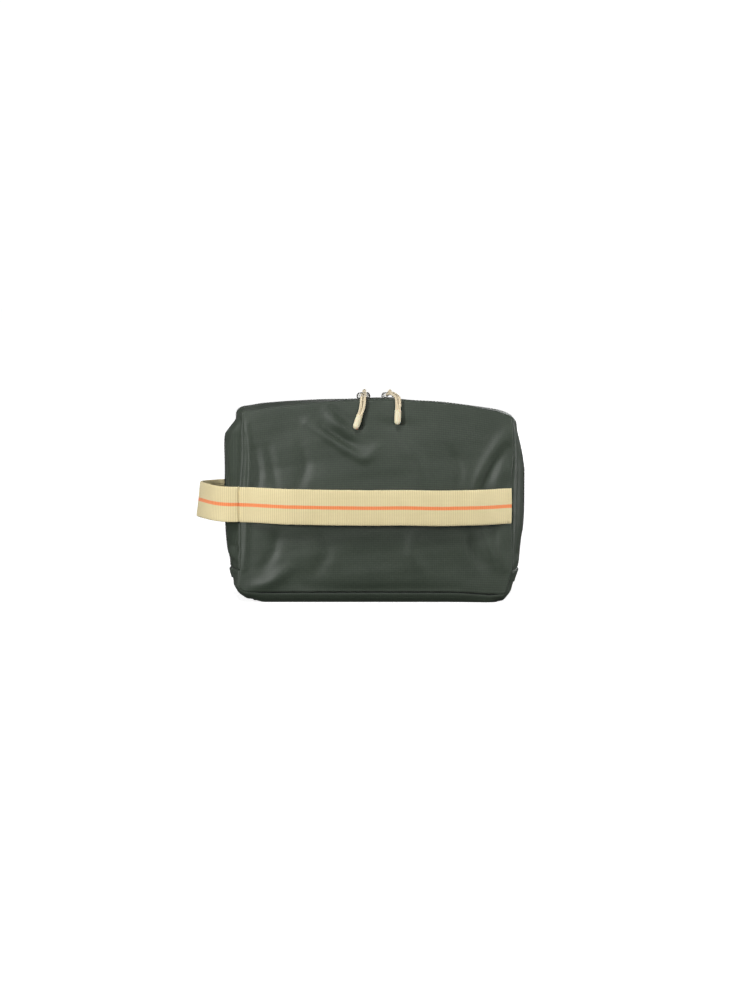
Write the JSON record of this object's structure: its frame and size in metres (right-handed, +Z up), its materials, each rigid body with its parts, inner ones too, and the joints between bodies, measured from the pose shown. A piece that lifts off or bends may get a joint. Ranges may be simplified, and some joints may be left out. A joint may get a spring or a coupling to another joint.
{
  "type": "wash bag",
  "caption": "Box-shaped zipped wash bag in ribbed dark cloth with a beige trolley strap across its back and a carry loop on its side.",
  "frame": {"origin": "middle of the flat base, on the surface that the bag stands on", "axes": "+X to the right seen from the back (strap) side, away from the carry loop; +Y from the back panel to the front panel; +Z up"},
  "size_m": [0.2781, 0.1266, 0.1804],
  "materials": {
    "outer_cloth": "fine ribbed dark green polyester, slight satin sheen",
    "lining": "smooth thin charcoal lining cloth",
    "zip_tape": "black woven tape",
    "zip_coil": "black nylon coil",
    "slider_metal": "bright nickel-plated zinc casting",
    "pull_cord": "beige braided cord",
    "pull_tip": "beige moulded tip",
    "webbing": "beige ribbed webbing with an orange centre stripe",
    "board": "black stiffening board",
    "pocket": "dark mesh and elastic"
  },
  "bodies": {
    "root": {"back_panel_foot": "outer_cloth", "front_panel": "outer_cloth", "back_lining_foot": "lining", "front_lining": "lining", "front_zip_gusset": "outer_cloth", "base_gusset": "outer_cloth", "front_gusset_lining": "lining", "base_lining": "lining", "base_board": "board", "back_seam_binding_foot": "zip_tape", "front_seam_binding": "zip_tape", "front_seam_binding_foot": "zip_tape", "slip_pocket": "pocket", "pocket_elastic": "pocket", "zip_tape_front": "zip_tape", "zip_coil_front": "zip_coil", "zip_end_tab_left": "outer_cloth", "zip_end_tab_right": "outer_cloth", "carry_loop": "webbing"},
    "flap": {"back_panel": "outer_cloth", "back_lining": "lining", "back_zip_gusset": "outer_cloth", "back_gusset_lining": "lining", "back_seam_binding": "zip_tape", "zip_tape_back": "zip_tape", "zip_coil_back": "zip_coil", "trolley_strap": "webbing"},
    "slider_left": {"slider_left": "slider_metal"},
    "pull_left": {"pull_cord_left": "pull_cord", "pull_tip_left": "pull_tip"},
    "slider_right": {"slider_right": "slider_metal"},
    "pull_right": {"pull_cord_right": "pull_cord", "pull_tip_right": "pull_tip"}
  },
  "joints": [
    {"name": "flap_open", "type": "hinge", "parent": "root", "child": "flap", "pos_m": [0, -0.0542, 0.028], "axis": [1, 0, 0], "range_deg": [0, 30]},
    {"name": "slider_left_slide", "type": "slide", "parent": "flap", "child": "slider_left", "axis": [-0.9991, 0, -0.0422], "range_m": [0, 0.08327]},
    {"name": "slider_right_slide", "type": "slide", "parent": "flap", "child": "slider_right", "axis": [0.9961, 0, -0.0885], "range_m": [0, 0.08433]},
    {"name": "pull_left_swing", "type": "hinge", "parent": "slider_left", "child": "pull_left", "pos_m": [-0.01102, -0.0245, 0.17702], "axis": [-0.9991, 0, -0.0422], "range_deg": [0, 120]},
    {"name": "pull_right_swing", "type": "hinge", "parent": "slider_right", "child": "pull_right", "pos_m": [0.01046, -0.0245, 0.17684], "axis": [-0.9961, 0, 0.0885], "range_deg": [0, 120]}
  ],
  "couplings": [
    {"joint": "slider_left_slide", "follows": "flap_open", "m_per_rad": 0.159},
    {"joint": "slider_right_slide", "follows": "flap_open", "m_per_rad": 0.161}
  ]
}
